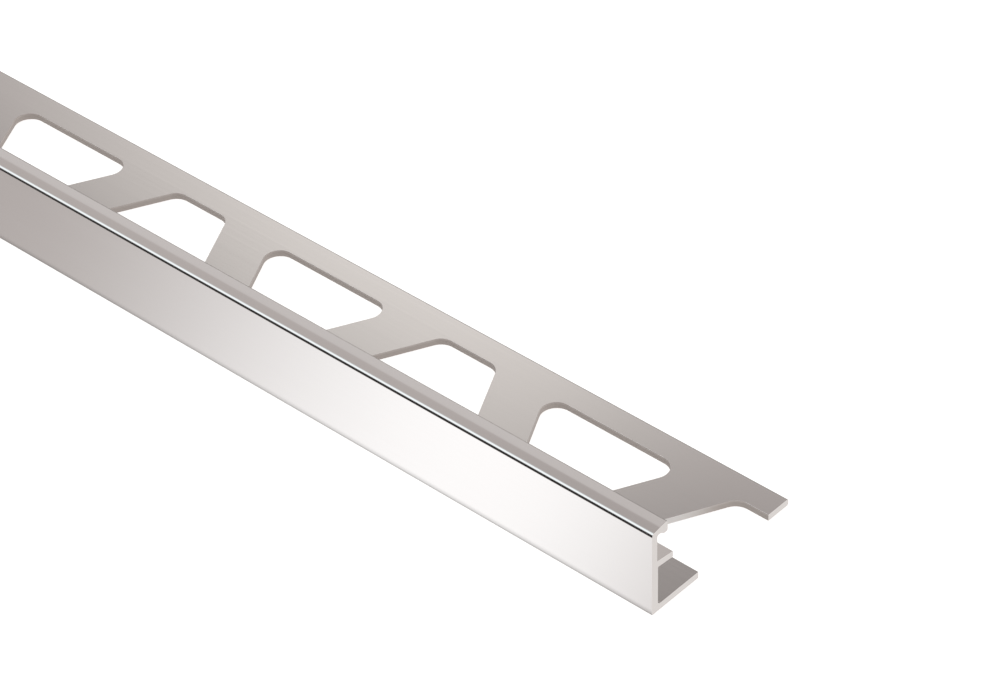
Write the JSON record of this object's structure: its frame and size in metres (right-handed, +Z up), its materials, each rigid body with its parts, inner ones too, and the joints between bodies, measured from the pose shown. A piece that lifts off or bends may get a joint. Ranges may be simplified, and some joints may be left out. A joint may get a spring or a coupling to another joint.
{
  "type": "tile edge trim",
  "caption": "L-shaped metal edge trim with a perforated anchoring leg, a spacer ledge behind its polished wall and a hooked lip that caps the edge of a tile.",
  "frame": {"origin": "below the middle of the bounding box, on the plane that the leg lies on", "axes": "+X along the stock, -Y out of the polished finish face, +Z up from the leg to the lip"},
  "size_m": [1, 0.0246, 0.0125],
  "materials": {
    "polished_nickel_aluminium": "polished, warm grey nickel-tone anodised"
  },
  "bodies": {
    "root": {"edge_trim": "polished_nickel_aluminium"}
  },
  "joints": []
}
